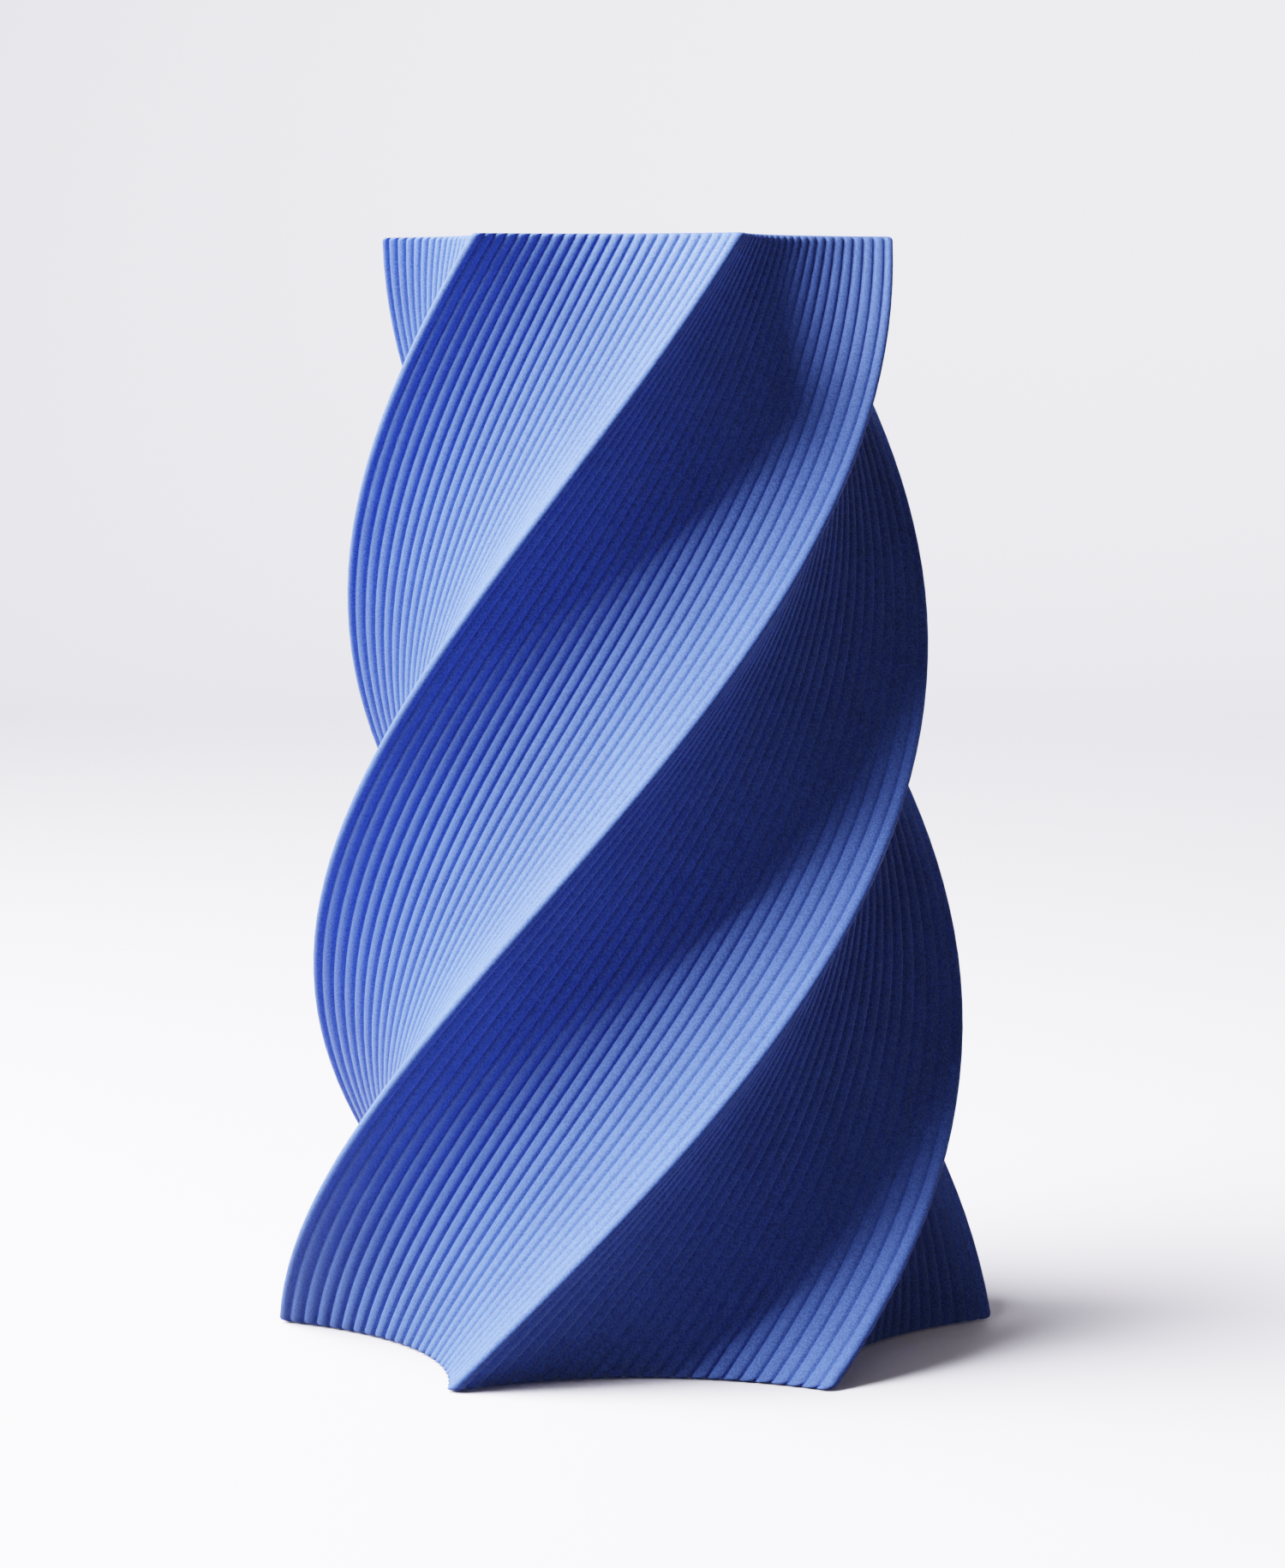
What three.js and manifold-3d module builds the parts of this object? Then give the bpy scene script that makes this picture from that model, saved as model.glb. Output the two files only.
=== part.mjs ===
// A twisted, tapered vase with fine ribs. Its section is a six-pointed star with hollow faces,
// which shrinks and turns as it rises. A glass liner stands inside it and lifts out, and six
// rubber pads sit under the points of the star.
//
// Millimetres, +Z up. The origin is on the surface that the vase stands on, under its middle,
// and at the foot two points of the star lie on the X axis.

import * as THREE from 'three';
import { mergeVertices } from 'three/addons/utils/BufferGeometryUtils.js';
import Module from 'manifold-3d';

const wasm = await Module();
wasm.setup();

// ---------- driving dimensions ----------

// The star and the way it rises.
const starPoints = 6;
const vaseHeight = 240;          // from the surface it stands on to the rim
const footEdgeRadius = 82;       // axis to where two faces would meet, at the foot
const footFaceHollow = 13.4;     // how far a face is hollowed in its middle, at the foot
const rimScale = 0.705;          // size of the section at the rim, as a share of the foot's
const twistDegrees = 172.3;      // foot to rim, counter-clockwise from above
const twistSteps = 10;           // flat bands that stand for the smooth twist

// Grooves and the ribs between them, at the size that they have at the foot.
const groovesPerFace = 23;
const grooveDepth = 0.8;
const firstGrooveRun = 5.2;      // from where two faces would meet to the nearest groove
const edgeRadius = 1.95;         // rounded edge between two faces

// Shell.
const rimWall = 2;               // grooves to the smooth inside, at the rim
const floorThickness = 4;
const insideSteps = 10;          // flats that stand for the curve of one inside face

// Glass liner, as wide as the rim lets through.
const linerRimGap = 4.5;         // between the liner and the shell where the rim is narrowest
const linerBelowRim = 8;         // how far the liner's lip lies below the rim
const linerWall = 2.5;
const linerFloor = 5;
const linerFootRadius = 1.5;     // rounded edge under the liner
const roundSteps = 48;
const bendSteps = 4;             // flats that stand for a quarter of a rounded edge

// Ring on the floor that keeps the liner in the middle.
const ringWall = 2.4;
const ringHeight = 4.5;
const linerClearance = 0.5;      // all round, between liner and ring

// Foot pads.
const padRadius = 5;
const padThickness = 1.5;
const padProud = 0.5;            // how far the pads hold the shell off the surface
const padClearance = 0.3;        // between a pad and the wall of its recess
const glueLine = 0.2;            // between a pad and the roof of its recess
const padSetback = 21;           // rounded edge's tip to the middle of a pad
const padSteps = 24;

// ---------- worked out from them ----------

const sector = (2 * Math.PI) / starPoints;
const shellHeight = vaseHeight - padProud;
const floorTop = padProud + floorThickness;
const footWall = rimWall / rimScale;
const recessDepth = padThickness + glueLine - padProud;
const cutOvershoot = 2;          // how far a cutting shape runs past the surface it cuts

// A hollow face of the star is one arc, whose centre lies outside the star.
const halfChord = footEdgeRadius * Math.sin(sector / 2);
const footWaistRadius = footEdgeRadius * Math.cos(sector / 2) - footFaceHollow;
const faceRadius = (halfChord ** 2 + footFaceHollow ** 2) / (2 * footFaceHollow);
const faceCentre = footWaistRadius + faceRadius;
const faceHalfAngle = Math.asin(halfChord / faceRadius);

// The edge between two faces is rounded with a circle that touches both.
const edgeHalfAngle = Math.PI / 2 - sector / 2 - faceHalfAngle;
const edgeCircleCentre = footEdgeRadius - edgeRadius / Math.sin(edgeHalfAngle);
const edgeTouch = Math.PI / 2 - edgeHalfAngle;
const tipRadius = edgeCircleCentre + edgeRadius;

// The liner and its ring follow the narrowest part of the rim, and the pads follow the points.
const insideInset = grooveDepth + footWall;
const linerRadius = (footWaistRadius - insideInset) * rimScale - linerRimGap;
const linerHeight = vaseHeight - linerBelowRim - floorTop;
const ringInnerRadius = linerRadius + linerClearance;
const padCircle = tipRadius - padSetback;

const materials = {
  shell: new THREE.MeshStandardMaterial({ color: 0x3f62bd, roughness: 0.62, metalness: 0 }),
  glass: new THREE.MeshStandardMaterial({
    color: 0xdfeeee, roughness: 0.05, metalness: 0, transparent: true, opacity: 0.35,
  }),
  rubber: new THREE.MeshStandardMaterial({ color: 0x26282b, roughness: 0.85, metalness: 0 }),
};

// ---------- helpers ----------

function polar(radius, angle) {
  return new THREE.Vector2(radius * Math.cos(angle), radius * Math.sin(angle));
}

// A closed three.js geometry as a solid that can be joined and cut.
function solidFrom(geometry) {
  const bare = geometry.clone();
  bare.deleteAttribute('normal');
  bare.deleteAttribute('uv');
  const merged = mergeVertices(bare);
  return new wasm.Manifold(new wasm.Mesh({
    numProp: 3,
    vertProperties: new Float32Array(merged.attributes.position.array),
    triVerts: new Uint32Array(merged.index.array),
  }));
}

function geometryFrom(solid) {
  const mesh = solid.getMesh();
  const geometry = new THREE.BufferGeometry();
  geometry.setAttribute('position', new THREE.BufferAttribute(mesh.vertProperties, mesh.numProp));
  geometry.setIndex(new THREE.BufferAttribute(mesh.triVerts, 1));
  const flat = geometry.toNonIndexed();
  flat.computeVertexNormals();
  return flat;
}

function namedMesh(name, geometry, material) {
  const mesh = new THREE.Mesh(geometry, material);
  mesh.name = name;
  return mesh;
}

// A turned shape about the Z axis from [radius, height] points that start and end on the axis
// or close on themselves, listed counter-clockwise.
function turned(profile, steps) {
  const points = profile.map(([radius, height]) => new THREE.Vector2(radius, height));
  return new THREE.LatheGeometry(points, steps).rotateX(Math.PI / 2);
}

function disc(radius, low, high, steps) {
  return turned([[0, low], [radius, low], [radius, high], [0, high]], steps);
}

// ---------- the star shell ----------

// A point on the hollow face whose middle points along `middle`. `share` runs from 0 at one
// edge to 1 at the next, and `inset` moves the point into the wall.
function facePoint(middle, share, inset) {
  const swing = (2 * share - 1) * faceHalfAngle;
  const centre = polar(faceCentre, middle);
  return centre.sub(polar(faceRadius + inset, middle - swing));
}

// The outside of the section at the foot: a rounded edge, then grooves and ribs in turn.
function ribbedStar() {
  const outline = [];
  const faceLength = 2 * faceHalfAngle * faceRadius;
  const firstGroove = firstGrooveRun / faceLength;
  const lastGroove = groovesPerFace - 1;
  const pitch = (1 - 2 * firstGroove) / lastGroove;
  for (let point = 0; point < starPoints; point++) {
    const edge = point * sector;
    const edgeCircle = polar(edgeCircleCentre, edge);
    for (const turn of [-edgeTouch, 0, edgeTouch]) {
      outline.push(edgeCircle.clone().add(polar(edgeRadius, edge + turn)));
    }
    const middle = edge + sector / 2;
    for (let groove = 0; groove <= lastGroove; groove++) {
      const share = firstGroove + groove * pitch;
      outline.push(facePoint(middle, share, grooveDepth));
      if (groove < lastGroove) outline.push(facePoint(middle, share + pitch / 2, 0));
    }
  }
  return new THREE.Shape(outline);
}

// The inside of the section at the foot, smooth and parallel to the faces.
function innerStar() {
  const outline = [];
  const innerRadius = faceRadius + insideInset;
  const innerHalfAngle = sector / 2;
  const reach = faceCentre * Math.cos(innerHalfAngle)
    - Math.sqrt(innerRadius ** 2 - (faceCentre * Math.sin(innerHalfAngle)) ** 2);
  const swing = Math.asin((reach * Math.sin(innerHalfAngle)) / innerRadius);
  for (let point = 0; point < starPoints; point++) {
    const middle = (point + 0.5) * sector;
    for (let step = 0; step < insideSteps; step++) {
      const share = 0.5 + ((2 * step) / insideSteps - 1) * (swing / faceHalfAngle) / 2;
      outline.push(facePoint(middle, share, insideInset));
    }
  }
  return new THREE.Shape(outline);
}

// Shrinks and turns a straight extrusion of the star by the height of each of its points
// above the foot of the shell.
function twistAndTaper(geometry) {
  const position = geometry.getAttribute('position');
  for (let i = 0; i < position.count; i++) {
    const rise = position.getZ(i) / shellHeight;
    const scale = 1 + (rimScale - 1) * rise;
    const turn = THREE.MathUtils.degToRad(twistDegrees) * rise;
    const x = position.getX(i) * scale;
    const y = position.getY(i) * scale;
    position.setX(i, x * Math.cos(turn) - y * Math.sin(turn));
    position.setY(i, x * Math.sin(turn) + y * Math.cos(turn));
  }
  return geometry;
}

function starColumn(shape, low, high) {
  const column = new THREE.ExtrudeGeometry(shape, {
    depth: high - low, steps: twistSteps, bevelEnabled: false,
  });
  return twistAndTaper(column.translate(0, 0, low));
}

// The ring is sunk into the floor so that the two join into one body.
function locatingRing() {
  const outer = ringInnerRadius + ringWall;
  const low = padProud + floorThickness / 2;
  const high = floorTop + ringHeight;
  const ring = [[ringInnerRadius, low], [outer, low], [outer, high], [ringInnerRadius, high]];
  return turned([...ring, ring[0]], roundSteps);
}

function padRecess(point) {
  const middle = polar(padCircle, point * sector);
  const recess = disc(padRadius + padClearance, padProud - cutOvershoot,
    padProud + recessDepth, padSteps);
  return recess.translate(middle.x, middle.y, 0);
}

function vaseBody() {
  const outside = starColumn(ribbedStar(), 0, shellHeight).translate(0, 0, padProud);
  const inside = starColumn(innerStar(), floorThickness, shellHeight + cutOvershoot);
  let body = solidFrom(outside).subtract(solidFrom(inside.translate(0, 0, padProud)));
  body = body.add(solidFrom(locatingRing()));
  for (let point = 0; point < starPoints; point++) {
    body = body.subtract(solidFrom(padRecess(point)));
  }
  return namedMesh('vase_body', geometryFrom(body), materials.shell);
}

// ---------- the liner and the pads ----------

// A glass tube with a thick floor, a rounded foot and a fire-rounded lip.
function glassLiner() {
  const inner = linerRadius - linerWall;
  const lip = linerWall / 2;
  const profile = [[0, 0], [linerRadius - linerFootRadius, 0]];
  for (let step = 1; step <= bendSteps; step++) {
    const turn = (step / bendSteps) * (Math.PI / 2);
    profile.push([
      linerRadius - linerFootRadius + linerFootRadius * Math.sin(turn),
      linerFootRadius - linerFootRadius * Math.cos(turn),
    ]);
  }
  for (let step = 0; step <= 2 * bendSteps; step++) {
    const turn = (step / bendSteps) * (Math.PI / 2);
    profile.push([
      linerRadius - lip + lip * Math.cos(turn),
      linerHeight - lip + lip * Math.sin(turn),
    ]);
  }
  profile.push([inner, linerFloor], [0, linerFloor]);
  const liner = namedMesh('glass_liner', turned(profile, roundSteps), materials.glass);
  liner.position.z = floorTop;
  return liner;
}

function footPad(point) {
  const pad = namedMesh(`foot_pad_${point + 1}`,
    disc(padRadius, 0, padThickness, padSteps), materials.rubber);
  const middle = polar(padCircle, point * sector);
  pad.position.set(middle.x, middle.y, 0);
  return pad;
}

// ---------- the vase ----------

const vase = new THREE.Group();
vase.add(vaseBody());
vase.add(glassLiner());
for (let point = 0; point < starPoints; point++) {
  vase.add(footPad(point));
}

export default vase;
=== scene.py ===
"""Looks of the twisted, ribbed vase: a matt blue shell of sintered nylon with fine rounded ribs,
a clear glass liner standing inside it, and rubber pads under the points of its star.

Everything is in metres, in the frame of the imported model: +Z up, origin on the surface that the
vase stands on, under its middle.
"""

import math

import bmesh
import bpy
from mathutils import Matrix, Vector


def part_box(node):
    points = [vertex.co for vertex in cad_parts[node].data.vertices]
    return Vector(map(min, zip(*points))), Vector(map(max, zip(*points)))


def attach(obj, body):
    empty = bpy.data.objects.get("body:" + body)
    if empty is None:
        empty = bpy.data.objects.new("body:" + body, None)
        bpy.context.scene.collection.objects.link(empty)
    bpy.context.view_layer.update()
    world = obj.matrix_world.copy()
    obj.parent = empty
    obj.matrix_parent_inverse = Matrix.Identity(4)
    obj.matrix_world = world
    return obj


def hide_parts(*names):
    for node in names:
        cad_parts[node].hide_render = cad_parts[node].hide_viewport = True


MM = 0.001

# ---------- sizes of the pieces ----------

# The star and the way it rises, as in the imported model.
STAR_POINTS = 6
FOOT_EDGE_RADIUS = 82 * MM        # axis to where two faces would meet, at the foot
FOOT_FACE_HOLLOW = 13.4 * MM      # how far a face is hollowed in its middle, at the foot
RIM_SCALE = 0.705                 # size of the section at the rim, as a share of the foot's
TWIST = math.radians(172.3)       # foot to rim, counter-clockwise from above
EDGE_ROUND = 1.95 * MM            # rounded edge between two faces
GROOVES_PER_FACE = 23
FIRST_GROOVE_RUN = 5.2 * MM       # from where two faces would meet to the nearest groove
GROOVE_DEPTH = 0.75 * MM
GROOVE_HALF_WIDTH = 0.28          # as a share of the way from one groove to the next
CROWN_SHARE = 0.5                 # how much of the depth is the roundness of the ribs themselves
STEPS_PER_WALL = 3                # points up each side of a groove
STEPS_PER_HALF_EDGE = 8           # points from an edge to its nearest groove

# The wall between the outside and the smooth inside.
WALL_AT_FOOT = 2.84 * MM
INNER_EDGE_ROUND = 1.5 * MM
LIP_ROUND = 0.9 * MM              # edges of the rim
FOOT_ROUND = 1.0 * MM             # lower edge of the foot
ROUND_STEPS = 4                   # flats round each of those edges
OUTER_LEVELS = 50                 # steps up the twisted outside
INNER_LEVELS = 20                 # steps down the smooth inside

# The ring on the floor that keeps the liner in the middle.
RING_CLEARANCE = 0.5 * MM
RING_WALL = 2.4 * MM
RING_HEIGHT = 4.5 * MM
RING_SIDES = 96

# The liner.
GLASS_WALL = 2.5 * MM
GLASS_FLOOR = 5 * MM
GLASS_FOOT_ROUND = 1.5 * MM
GLASS_FLOOR_ROUND = 3 * MM
GLASS_LIP_ROUND = GLASS_WALL / 2 * 0.98  # just under half, so its two rounds don't meet
GLASS_SIDES = 128

# The pads.
PAD_CLEARANCE = 0.3 * MM
PAD_GLUE = 0.2 * MM
PAD_ROUND = 0.35 * MM
PAD_SIDES = 64

SMOOTHED_BELOW = math.radians(50)  # edges sharper than this keep their crease
CORNER_STEPS = 6                   # flats round each corner of the liner and the pads
MERGE_DISTANCE = 0.001 * MM        # points closer than this are one

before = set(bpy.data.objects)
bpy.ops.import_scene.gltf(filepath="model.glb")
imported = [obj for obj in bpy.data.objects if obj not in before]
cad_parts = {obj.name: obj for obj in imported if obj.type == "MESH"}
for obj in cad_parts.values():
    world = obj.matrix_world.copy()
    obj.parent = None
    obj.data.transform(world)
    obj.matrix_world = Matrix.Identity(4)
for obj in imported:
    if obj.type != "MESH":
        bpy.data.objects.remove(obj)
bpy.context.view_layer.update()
shell_low, shell_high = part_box("vase_body")
liner_low, liner_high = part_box("glass_liner")
SHELL_HEIGHT = shell_high.z - shell_low.z
FLOOR_TOP = liner_low.z

# ---------- small tools ----------


def linear(hex_colour):
    """An sRGB hex colour as linear red, green, blue and a full alpha."""
    channels = [int(hex_colour[i:i + 2], 16) / 255 for i in (1, 3, 5)]
    return [c / 12.92 if c <= 0.04045 else ((c + 0.055) / 1.055) ** 2.4 for c in channels] + [1]


def add_node(tree, kind, settings=None, links=None, values=None):
    """Adds a node with its settings, the values of its inputs, and links into its inputs."""
    node = tree.nodes.new(kind)
    for name, value in (settings or {}).items():
        setattr(node, name, value)
    for name, value in (values or {}).items():
        node.inputs[name].default_value = value
    for name, socket in (links or {}).items():
        tree.links.new(socket, node.inputs[name])
    return node


def new_material(name):
    material = bpy.data.materials.new(name)
    material.use_nodes = True
    tree = material.node_tree
    tree.nodes.clear()
    return material, tree


def piece_from(bm, name, material, body, node):
    """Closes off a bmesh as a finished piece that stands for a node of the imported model."""
    bmesh.ops.recalc_face_normals(bm, faces=bm.faces)
    for face in bm.faces:
        face.smooth = True
    for edge in bm.edges:
        edge.smooth = edge.calc_face_angle(0) < SMOOTHED_BELOW
    mesh = bpy.data.meshes.new(name)
    bm.to_mesh(mesh)
    bm.free()
    mesh.materials.append(material)
    piece = bpy.data.objects.new(name, mesh)
    bpy.context.scene.collection.objects.link(piece)
    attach(piece, body)
    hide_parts(node)
    return piece


# ---------- the section of the shell ----------

SECTOR = 2 * math.pi / STAR_POINTS
HALF_CHORD = FOOT_EDGE_RADIUS * math.sin(SECTOR / 2)
WAIST = FOOT_EDGE_RADIUS * math.cos(SECTOR / 2) - FOOT_FACE_HOLLOW
FACE_RADIUS = (HALF_CHORD ** 2 + FOOT_FACE_HOLLOW ** 2) / (2 * FOOT_FACE_HOLLOW)
FACE_CENTRE = Vector((math.cos(SECTOR / 2), math.sin(SECTOR / 2))) * (WAIST + FACE_RADIUS)


def unit(angle):
    return Vector((math.cos(angle), math.sin(angle)))


class HalfOutline:
    """Half of one sixth of the star, from the middle of a rounded edge on the X axis to the
    middle of the next face: an arc round the edge, then the hollow arc of the face."""

    def __init__(self, face_radius, edge_round):
        self.face_radius = face_radius
        self.edge_round = edge_round
        across = FACE_CENTRE.y
        self.edge_centre = FACE_CENTRE.x - math.sqrt((face_radius + edge_round) ** 2 - across ** 2)
        self.touch = math.atan2(across, FACE_CENTRE.x - self.edge_centre)
        self.edge_length = edge_round * self.touch
        self.length = self.edge_length + face_radius * (self.touch - SECTOR / 2)

    def at(self, distance):
        """The point at a distance from the middle of the edge, and the way into the wall."""
        if distance < self.edge_length:
            outward = unit(distance / self.edge_round)
            return Vector((self.edge_centre, 0)) + self.edge_round * outward, -outward
        towards = unit(self.touch - (distance - self.edge_length) / self.face_radius)
        return FACE_CENTRE - self.face_radius * towards, -towards


def rib_rise(share):
    """Height of the surface above a groove, 0 to 1, at a share of the way to the next groove: a
    rounded valley between ribs with a low, round crown."""
    up_the_wall = min(share, 1 - share) / GROOVE_HALF_WIDTH
    valley = (1 - math.cos(math.pi * min(up_the_wall, 1))) / 2
    crown = 1 - (2 * share - 1) ** 2
    return CROWN_SHARE * crown + (1 - CROWN_SHARE) * valley


def rib_shares():
    """Shares of the way from one groove to just before the next, where a rib has a point."""
    wall = [GROOVE_HALF_WIDTH * step / STEPS_PER_WALL for step in range(STEPS_PER_WALL + 1)]
    return wall + [0.5] + [1 - share for share in reversed(wall[1:])]


def half_stations():
    """(distance, depth under the crests) from the middle of an edge to the middle of a face."""
    outer = HalfOutline(FACE_RADIUS, EDGE_ROUND)
    face_length = 2 * FACE_RADIUS * math.asin(HALF_CHORD / FACE_RADIUS)
    pitch = (face_length - 2 * FIRST_GROOVE_RUN) / (GROOVES_PER_FACE - 1)
    first_groove = outer.length - (GROOVES_PER_FACE - 1) / 2 * pitch
    stations = []
    for step in range(STEPS_PER_HALF_EDGE):
        share = step / STEPS_PER_HALF_EDGE
        distance = first_groove * math.sin(share * math.pi / 2)
        from_groove = min((first_groove - distance) / pitch, 0.5)
        stations.append((distance, GROOVE_DEPTH * (1 - rib_rise(from_groove))))
    for rib in range((GROOVES_PER_FACE - 1) // 2):
        for share in rib_shares():
            depth = GROOVE_DEPTH * (1 - rib_rise(share))
            stations.append((first_groove + (rib + share) * pitch, depth))
    stations.append((outer.length, GROOVE_DEPTH))
    return outer, stations


def star_stations():
    """Each point round the foot of the shell, as the point outside and the one inside."""
    outer, stations = half_stations()
    inner = HalfOutline(FACE_RADIUS + GROOVE_DEPTH + WALL_AT_FOOT, INNER_EDGE_ROUND)
    half = []
    for distance, depth in stations:
        crest, into_wall = outer.at(distance)
        inside, _ = inner.at(distance * inner.length / outer.length)
        half.append((crest + into_wall * depth, inside))
    mirror = [tuple(polar_mirror(p) for p in pair) for pair in reversed(half[1:-1])]
    return half + mirror


def polar_mirror(point):
    """The point on the other side of the middle of the face."""
    return point.length * unit(SECTOR - math.atan2(point.y, point.x))


SIXTH = star_stations()
STATION_COUNT = len(SIXTH) * STAR_POINTS


def shell_point(station, height, depth, inside):
    """Where a station of the section lies at a height above the foot, `depth` into the wall."""
    sixth, place = divmod(station, len(SIXTH))
    start, other = SIXTH[place]
    if inside:
        start, other = other, start
    rise = height / SHELL_HEIGHT
    scale = 1 + (RIM_SCALE - 1) * rise
    into_wall = (other - start).normalized() * depth
    flat = start * scale + into_wall
    turn = sixth * SECTOR + TWIST * rise + math.atan2(flat.y, flat.x)
    spot = flat.length * unit(turn)
    return Vector((spot.x, spot.y, shell_low.z + height))


# ---------- the shell ----------


def rounded_edge(radius):
    """(depth into the wall, height from the flat) round an edge, from its upright side to its flat."""
    for step in range(ROUND_STEPS + 1):
        angle = step / ROUND_STEPS * math.pi / 2
        yield radius * (1 - math.cos(angle)), radius * (1 - math.sin(angle))


def shell_rings():
    """(height above the foot, depth into the wall, inside) of each ring, up the outside of the
    shell from its underside, over the rim and down the inside to the floor."""
    foot = [(height, depth, False) for depth, height in reversed(list(rounded_edge(FOOT_ROUND)))]
    low, high = FOOT_ROUND, SHELL_HEIGHT - LIP_ROUND
    side = [(low + (high - low) * i / OUTER_LEVELS, 0, False) for i in range(1, OUTER_LEVELS)]
    lip = list(rounded_edge(LIP_ROUND))
    rim_out = [(SHELL_HEIGHT - drop, depth, False) for depth, drop in lip]
    rim_in = [(SHELL_HEIGHT - drop, depth, True) for depth, drop in reversed(lip)]
    down_to = FLOOR_TOP - shell_low.z
    back = [(high + (down_to - high) * i / INNER_LEVELS, 0, True) for i in range(1, INNER_LEVELS + 1)]
    return foot + side + rim_out + rim_in + back


def extrude_ring(bm, edges, place):
    """Extrudes a closed ring of edges, moves its new points with place, and gives its edges."""
    made = bmesh.ops.extrude_edge_only(bm, edges=edges)["geom"]
    verts = {v for v in made if isinstance(v, bmesh.types.BMVert)}
    for vert in verts:
        vert.co = place(vert)
    return [e for e in made if isinstance(e, bmesh.types.BMEdge) and set(e.verts) <= verts]


def ring_of(bm, radius, height, sides, centre=(0, 0)):
    """The edges of a level circle."""
    made = bmesh.ops.create_circle(bm, radius=radius, segments=sides)
    for vert in made["verts"]:
        vert.co += Vector((centre[0], centre[1], height))
    return list({edge for vert in made["verts"] for edge in vert.link_edges})


def scaled_ring(bm, edges, factor, height, centre=Vector((0, 0, 0))):
    """Extrudes a ring to another width about a centre, and to a height."""
    def place(vert):
        flat = centre + (vert.co - centre) * factor
        return Vector((flat.x, flat.y, height))
    return extrude_ring(bm, edges, place)


def close_ring(bm, edges):
    bmesh.ops.triangle_fill(bm, edges=edges, use_beauty=True)


def shell_wall(bm):
    """The outside, rim and inside of the shell. Gives the edges of its underside and its floor."""
    station = bm.verts.layers.int.new("station")
    rings = shell_rings()
    height, depth, inside = rings[0]
    first = [bm.verts.new(shell_point(i, height, depth, inside)) for i in range(STATION_COUNT)]
    for index, vert in enumerate(first):
        vert[station] = index
    edges = [bm.edges.new((a, b)) for a, b in zip(first, first[1:] + first[:1])]
    underside = edges
    for height, depth, inside in rings[1:]:
        edges = extrude_ring(bm, edges,
                             lambda v: shell_point(v[station], height, depth, inside))
    return underside, edges


def shell_floor(bm, inside_edges):
    """The floor inside, with the ring that keeps the liner in the middle."""
    ring_inner = liner_high.x + RING_CLEARANCE
    ring_outer = ring_inner + RING_WALL
    ring_foot = ring_of(bm, ring_outer, FLOOR_TOP, RING_SIDES)
    close_ring(bm, inside_edges + ring_foot)
    top = FLOOR_TOP + RING_HEIGHT
    chamfer = LIP_ROUND
    ring = scaled_ring(bm, ring_foot, 1, top - chamfer)
    ring = scaled_ring(bm, ring, 1 - chamfer / ring_outer, top)
    ring = scaled_ring(bm, ring, (ring_inner + chamfer) / (ring_outer - chamfer), top)
    ring = scaled_ring(bm, ring, ring_inner / (ring_inner + chamfer), top - chamfer)
    ring = scaled_ring(bm, ring, 1, FLOOR_TOP)
    close_ring(bm, ring)


def shell_underside(bm, foot_edges):
    """The flat underside, with a round recess for each pad."""
    rims = []
    for point in range(STAR_POINTS):
        low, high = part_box(f"foot_pad_{point + 1}")
        centre = (low + high) / 2
        radius = (high.x - low.x) / 2 + PAD_CLEARANCE
        rim = ring_of(bm, radius, shell_low.z, PAD_SIDES, (centre.x, centre.y))
        rims.append((rim, high.z + PAD_GLUE))
    close_ring(bm, foot_edges + [edge for rim, _ in rims for edge in rim])
    for rim, roof in rims:
        close_ring(bm, scaled_ring(bm, rim, 1, roof))


def make_shell(material):
    bm = bmesh.new()
    foot_edges, floor_edges = shell_wall(bm)
    shell_floor(bm, floor_edges)
    shell_underside(bm, foot_edges)
    return piece_from(bm, "ribbed_shell", material, "vase", "vase_body")


# ---------- the liner and the pads ----------


def rounded(profile, corners):
    """Rounds square corners of an open outline of (x, z) points. corners maps an index to a radius."""
    points = []
    for i, (x, z) in enumerate(profile):
        radius = corners.get(i)
        if not radius:
            points.append(Vector((x, z)))
            continue
        here = Vector((x, z))
        back = (Vector(profile[i - 1]) - here).normalized()
        ahead = (Vector(profile[i + 1]) - here).normalized()
        centre = here + (back + ahead) * radius
        for step in range(CORNER_STEPS + 1):
            turn = step / CORNER_STEPS * math.pi / 2
            points.append(centre - ahead * radius * math.cos(turn) - back * radius * math.sin(turn))
    return points


def turned(bm, points, sides, centre=Vector((0, 0, 0))):
    """Spins an outline that starts and ends on the axis into a closed round body."""
    verts = [bm.verts.new((centre.x + p.x, centre.y, centre.z + p.y)) for p in points]
    edges = [bm.edges.new(pair) for pair in zip(verts, verts[1:])]
    bmesh.ops.spin(bm, geom=verts + edges, cent=centre, axis=(0, 0, 1), angle=2 * math.pi,
                   steps=sides, use_merge=True)
    bmesh.ops.remove_doubles(bm, verts=bm.verts, dist=MERGE_DISTANCE)


def make_liner(material):
    """A clear tube with a thick floor, rounded under its foot, and a fire-rounded lip."""
    radius = liner_high.x
    inner = radius - GLASS_WALL
    height = liner_high.z - liner_low.z
    profile = [(0, 0), (radius, 0), (radius, height), (inner, height), (inner, GLASS_FLOOR),
               (0, GLASS_FLOOR)]
    corners = {1: GLASS_FOOT_ROUND, 2: GLASS_LIP_ROUND, 3: GLASS_LIP_ROUND, 4: GLASS_FLOOR_ROUND}
    bm = bmesh.new()
    turned(bm, rounded(profile, corners), GLASS_SIDES, Vector((0, 0, liner_low.z)))
    return piece_from(bm, "liner_glass", material, "liner", "glass_liner")


def make_pad(number, material):
    """A round rubber button with softened edges."""
    node = f"foot_pad_{number}"
    low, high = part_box(node)
    centre = (low + high) / 2
    radius = (high.x - low.x) / 2
    thickness = high.z - low.z
    profile = [(0, 0), (radius, 0), (radius, thickness), (0, thickness)]
    points = rounded(profile, {1: PAD_ROUND, 2: PAD_ROUND})
    bm = bmesh.new()
    turned(bm, points, PAD_SIDES, Vector((centre.x, centre.y, low.z)))
    return piece_from(bm, f"rubber_pad_{number}", material, "vase", node)


# ---------- materials ----------


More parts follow.
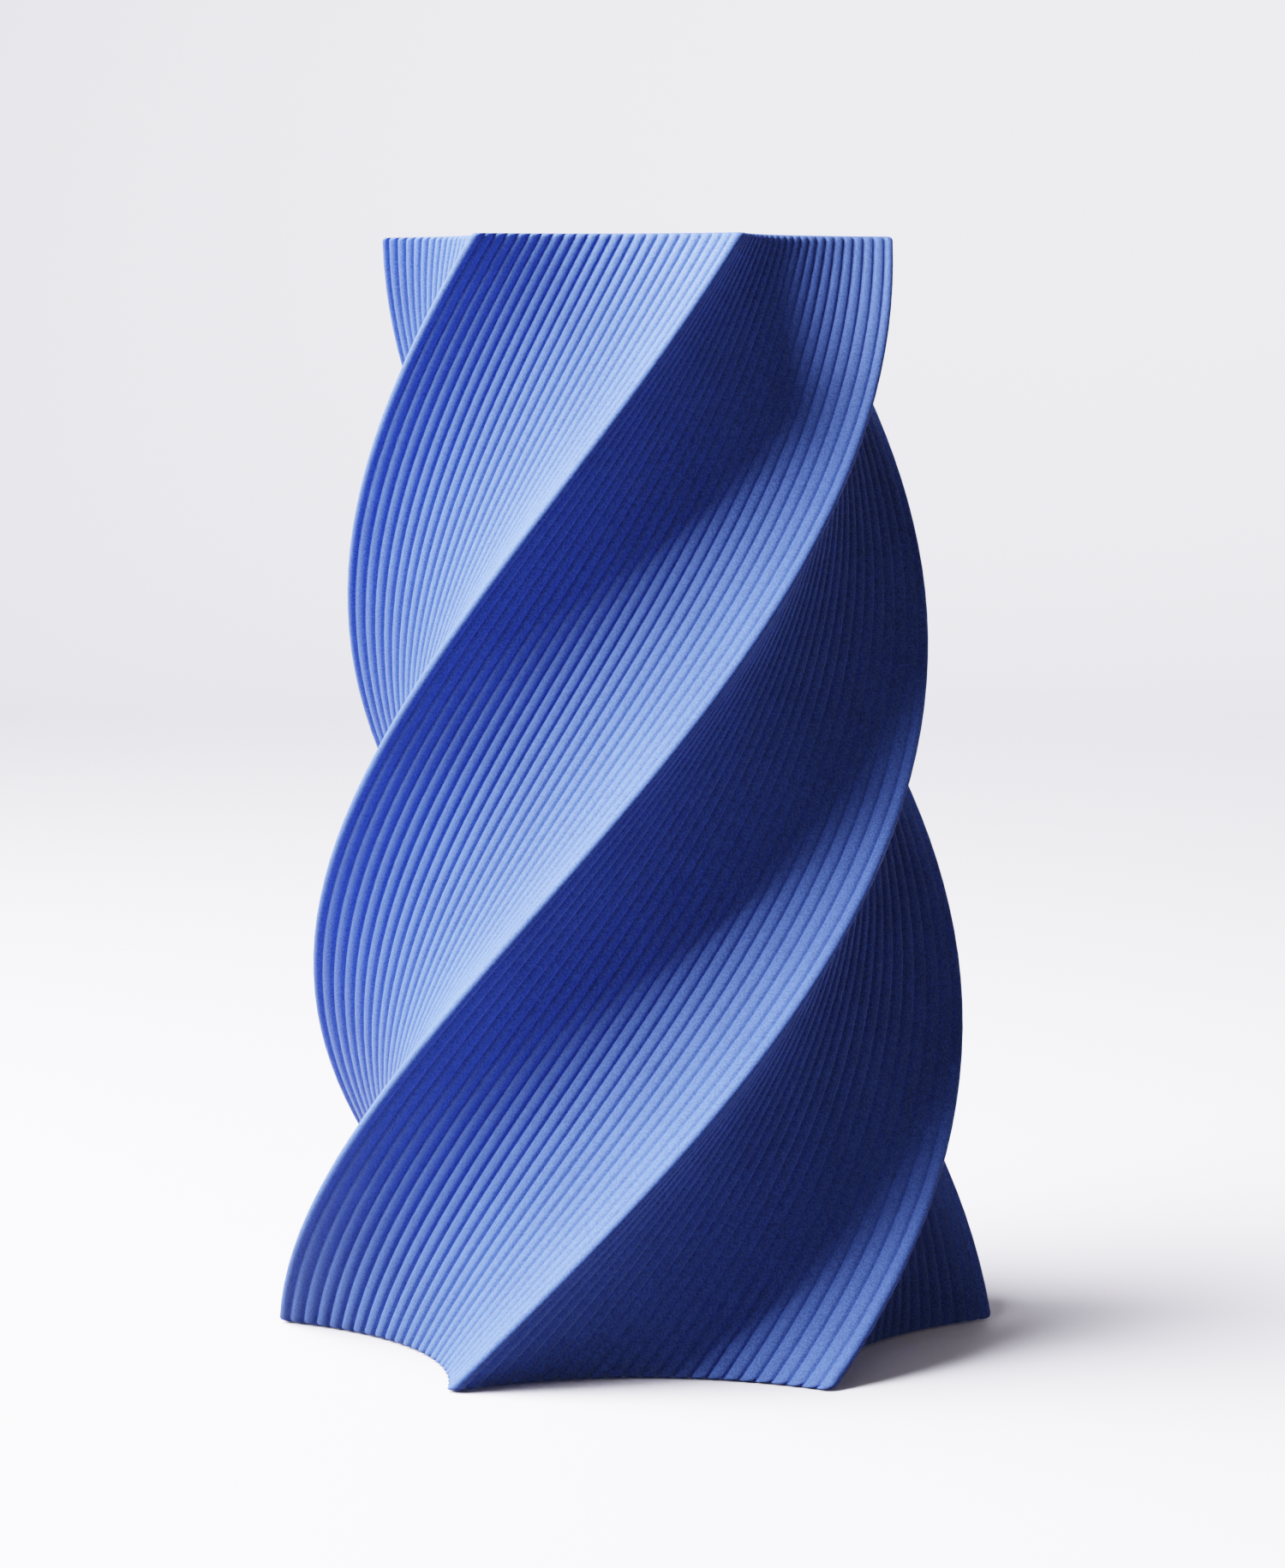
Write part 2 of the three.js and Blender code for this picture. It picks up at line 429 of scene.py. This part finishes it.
def sintered_nylon():
    """Dyed PA12 nylon, laser sintered and tumbled: matt, with a fine sugary grain that breaks up
    the light, a soft sheen where it is seen at a low angle, and dye that took a little unevenly."""
    material, tree = new_material("dyed_sintered_nylon")
    grain_size = 0.4 * MM  # coarser than real powder, whose grain is too fine to show
    cloud_size = 30 * MM
    cloud_share = 0.25
    place = add_node(tree, "ShaderNodeTexCoord")
    grain = add_node(tree, "ShaderNodeTexNoise", values={"Scale": 1 / grain_size, "Detail": 2},
                     links={"Vector": place.outputs["Object"]})
    cloud = add_node(tree, "ShaderNodeTexNoise", values={"Scale": 1 / cloud_size, "Detail": 3},
                     links={"Vector": place.outputs["Object"]})
    both = add_node(tree, "ShaderNodeMath", {"operation": "MULTIPLY_ADD"},
                    links={0: cloud.outputs["Fac"], 2: grain.outputs["Fac"]},
                    values={1: cloud_share})
    dye = add_node(tree, "ShaderNodeValToRGB", links={"Fac": both.outputs[0]})
    dye.color_ramp.elements[0].position = 0.5
    dye.color_ramp.elements[0].color = linear("#354a96")
    dye.color_ramp.elements[1].position = 0.75
    dye.color_ramp.elements[1].color = linear("#4762c2")
    bump = add_node(tree, "ShaderNodeBump", values={"Strength": 0.5, "Distance": 0.15 * MM},
                    links={"Height": grain.outputs["Fac"]})
    shader = add_node(tree, "ShaderNodeBsdfPrincipled",
                      values={"Roughness": 0.7, "IOR": 1.53, "Specular IOR Level": 0.12,
                              "Sheen Weight": 0.05, "Sheen Roughness": 0.45,
                              "Sheen Tint": linear("#cfdcff")},
                      links={"Base Color": dye.outputs["Color"], "Normal": bump.outputs["Normal"]})
    add_node(tree, "ShaderNodeOutputMaterial", links={"Surface": shader.outputs["BSDF"]})
    return material


def clear_glass():
    """Drawn soda-lime tube glass: clear and very smooth, with slow ripples and a faint green cast."""
    material, tree = new_material("drawn_clear_glass")
    ripple_size = 25 * MM
    place = add_node(tree, "ShaderNodeTexCoord")
    ripple = add_node(tree, "ShaderNodeTexNoise", values={"Scale": 1 / ripple_size, "Detail": 1},
                      links={"Vector": place.outputs["Object"]})
    bump = add_node(tree, "ShaderNodeBump", values={"Strength": 0.05, "Distance": 0.1 * MM},
                    links={"Height": ripple.outputs["Fac"]})
    shader = add_node(tree, "ShaderNodeBsdfPrincipled",
                      values={"Base Color": linear("#f3fbf7"), "Roughness": 0.02, "IOR": 1.52,
                              "Transmission Weight": 1.0},
                      links={"Normal": bump.outputs["Normal"]})
    add_node(tree, "ShaderNodeOutputMaterial", links={"Surface": shader.outputs["BSDF"]})
    return material


def moulded_rubber():
    """Black moulded silicone rubber: dead matt, slightly dusty."""
    material, tree = new_material("moulded_rubber")
    dust_size = 0.8 * MM
    place = add_node(tree, "ShaderNodeTexCoord")
    dust = add_node(tree, "ShaderNodeTexNoise", values={"Scale": 1 / dust_size, "Detail": 4},
                    links={"Vector": place.outputs["Object"]})
    tone = add_node(tree, "ShaderNodeValToRGB", links={"Fac": dust.outputs["Fac"]})
    tone.color_ramp.elements[0].color = linear("#1d1e20")
    tone.color_ramp.elements[1].color = linear("#3a3b3e")
    bump = add_node(tree, "ShaderNodeBump", values={"Strength": 0.2, "Distance": 0.05 * MM},
                    links={"Height": dust.outputs["Fac"]})
    shader = add_node(tree, "ShaderNodeBsdfPrincipled", values={"Roughness": 0.8},
                      links={"Base Color": tone.outputs["Color"], "Normal": bump.outputs["Normal"]})
    add_node(tree, "ShaderNodeOutputMaterial", links={"Surface": shader.outputs["BSDF"]})
    return material


def studio_paper():
    """Seamless background paper: matt, near white with a faint lilac cast."""
    material, tree = new_material("background_paper")
    shader = add_node(tree, "ShaderNodeBsdfPrincipled",
                      values={"Base Color": linear("#e6e3f6"), "Roughness": 0.6,
                              "Specular IOR Level": 0.3})
    add_node(tree, "ShaderNodeOutputMaterial", links={"Surface": shader.outputs["BSDF"]})
    return material


# ---------- studio ----------

MIDDLE = Vector((0, 0, 0.12))
CAMERA_DISTANCE = 0.9904
CAMERA_HEIGHT = 0.220
CAMERA_ROUND = math.radians(-0.83)    # how far round the vase from straight in front
CAMERA_PITCH = math.radians(-5.747)
CAMERA_YAW = math.radians(-0.086)
FOCAL_LENGTH = 103.7                  # in millimetres, as is the sensor's width
SENSOR_WIDTH = 36
NEAR_CLIP = 0.01
SWEEP_STEPS = 16                      # flats that stand for the paper's bend

# The lamps, in watts.
KEY_POWER = 141
PAPER_KEY_POWER = 48
FRONT_FILL_POWER = 1.6
FLOOR_LEFT_POWER = 7
WALL_MIDDLE_POWER = 41
WALL_RIGHT_POWER = 33
WALL_BEAM = math.radians(110)         # full angle of the beams of the two wall lamps
WORLD_COLOUR = "#fff2cc"
WORLD_STRENGTH = 0.11


def make_camera():
    data = bpy.data.cameras.new("camera")
    data.lens = FOCAL_LENGTH
    data.sensor_width = SENSOR_WIDTH
    data.clip_start = NEAR_CLIP
    camera = bpy.data.objects.new("camera", data)
    bpy.context.scene.collection.objects.link(camera)
    angle = CAMERA_ROUND - math.pi / 2
    camera.location = (CAMERA_DISTANCE * math.cos(angle), CAMERA_DISTANCE * math.sin(angle),
                       CAMERA_HEIGHT)
    camera.rotation_euler = (math.pi / 2 + CAMERA_PITCH, 0, CAMERA_ROUND + CAMERA_YAW)
    bpy.context.scene.camera = camera


def make_backdrop(material):
    """A sheet of paper that lies on the table and sweeps up behind the vase."""
    bm = bmesh.new()
    half_width, front, back, sweep, top = 3.0, -2.5, 1.6, 0.8, 3.0
    points = [Vector((0, front, 0)), Vector((0, back, 0))]
    for step in range(1, SWEEP_STEPS + 1):
        turn = step / SWEEP_STEPS * math.pi / 2
        points.append(Vector((0, back + sweep * math.sin(turn), sweep * (1 - math.cos(turn)))))
    points.append(Vector((0, back + sweep, top)))
    verts = [bm.verts.new(p - Vector((half_width, 0, 0))) for p in points]
    edges = [bm.edges.new(pair) for pair in zip(verts, verts[1:])]
    made = bmesh.ops.extrude_edge_only(bm, edges=edges)["geom"]
    for vert in (v for v in made if isinstance(v, bmesh.types.BMVert)):
        vert.co.x = half_width
    for face in bm.faces:
        face.smooth = True
    mesh = bpy.data.meshes.new("backdrop")
    bm.to_mesh(mesh)
    bm.free()
    mesh.materials.append(material)
    backdrop = bpy.data.objects.new("backdrop", mesh)
    bpy.context.scene.collection.objects.link(backdrop)
    # The paper throws no light back onto the vase, so its shaded faces stay dark.
    backdrop.visible_diffuse = False
    return backdrop


def area_light(name, place, aim, size, power, only=None, spread=math.pi):
    """A square softbox at a place, turned to a point. `only` is the one object that it lights, and
    `spread` is the full angle of its beam."""
    data = bpy.data.lights.new(name, "AREA")
    data.shape = "SQUARE"
    data.size = size
    data.energy = power
    data.spread = spread
    light = bpy.data.objects.new(name, data)
    bpy.context.scene.collection.objects.link(light)
    light.location = place
    light.rotation_euler = (aim - place).to_track_quat("-Z", "Y").to_euler()
    if only:
        lit = bpy.data.collections.new(name)
        lit.objects.link(only)
        light.light_linking.receiver_collection = lit


def around(bearing, elevation, distance):
    """A place seen from the middle of the vase. Bearing 0 is in front of it, and 90 to its right."""
    flat = distance * math.cos(math.radians(elevation))
    return MIDDLE + Vector((flat * math.sin(math.radians(bearing)),
                            -flat * math.cos(math.radians(bearing)),
                            distance * math.sin(math.radians(elevation))))


def make_lights(backdrop):
    """The key and a faint fill light everything. The other lamps light only the paper."""
    area_light("key", around(-86, 44, 0.97), MIDDLE, 1.1, KEY_POWER)
    area_light("key_for_paper", around(-70, 37, 1.05), MIDDLE, 1.0, PAPER_KEY_POWER, backdrop)
    area_light("front_fill", around(-15, 20, 2), MIDDLE, 1, FRONT_FILL_POWER)
    floor_lamp, floor_spot = Vector((-0.9, -0.5, 0.7)), Vector((-0.5, -0.3, 0))
    area_light("floor_left", floor_lamp, floor_spot, 0.6, FLOOR_LEFT_POWER, backdrop)
    wall_lamp, wall_spot = Vector((0, 1.2, 2.4)), Vector((0, 2.4, 0.9))
    right = Vector((1.2, 0, 0))
    area_light("wall_middle", wall_lamp, wall_spot, 0.9, WALL_MIDDLE_POWER, backdrop, WALL_BEAM)
    area_light("wall_right", wall_lamp + right, wall_spot + right, 0.9, WALL_RIGHT_POWER,
               backdrop, WALL_BEAM)
    world = bpy.data.worlds.new("studio")
    world.use_nodes = True
    background = world.node_tree.nodes["Background"]
    background.inputs["Color"].default_value = linear(WORLD_COLOUR)
    background.inputs["Strength"].default_value = WORLD_STRENGTH
    bpy.context.scene.world = world


# ---------- the scene ----------

make_camera()
nylon = sintered_nylon()
rubber = moulded_rubber()
make_shell(nylon)
make_liner(clear_glass())
for number in range(1, STAR_POINTS + 1):
    make_pad(number, rubber)
make_lights(make_backdrop(studio_paper()))
bpy.context.scene.view_settings.view_transform = "Filmic"
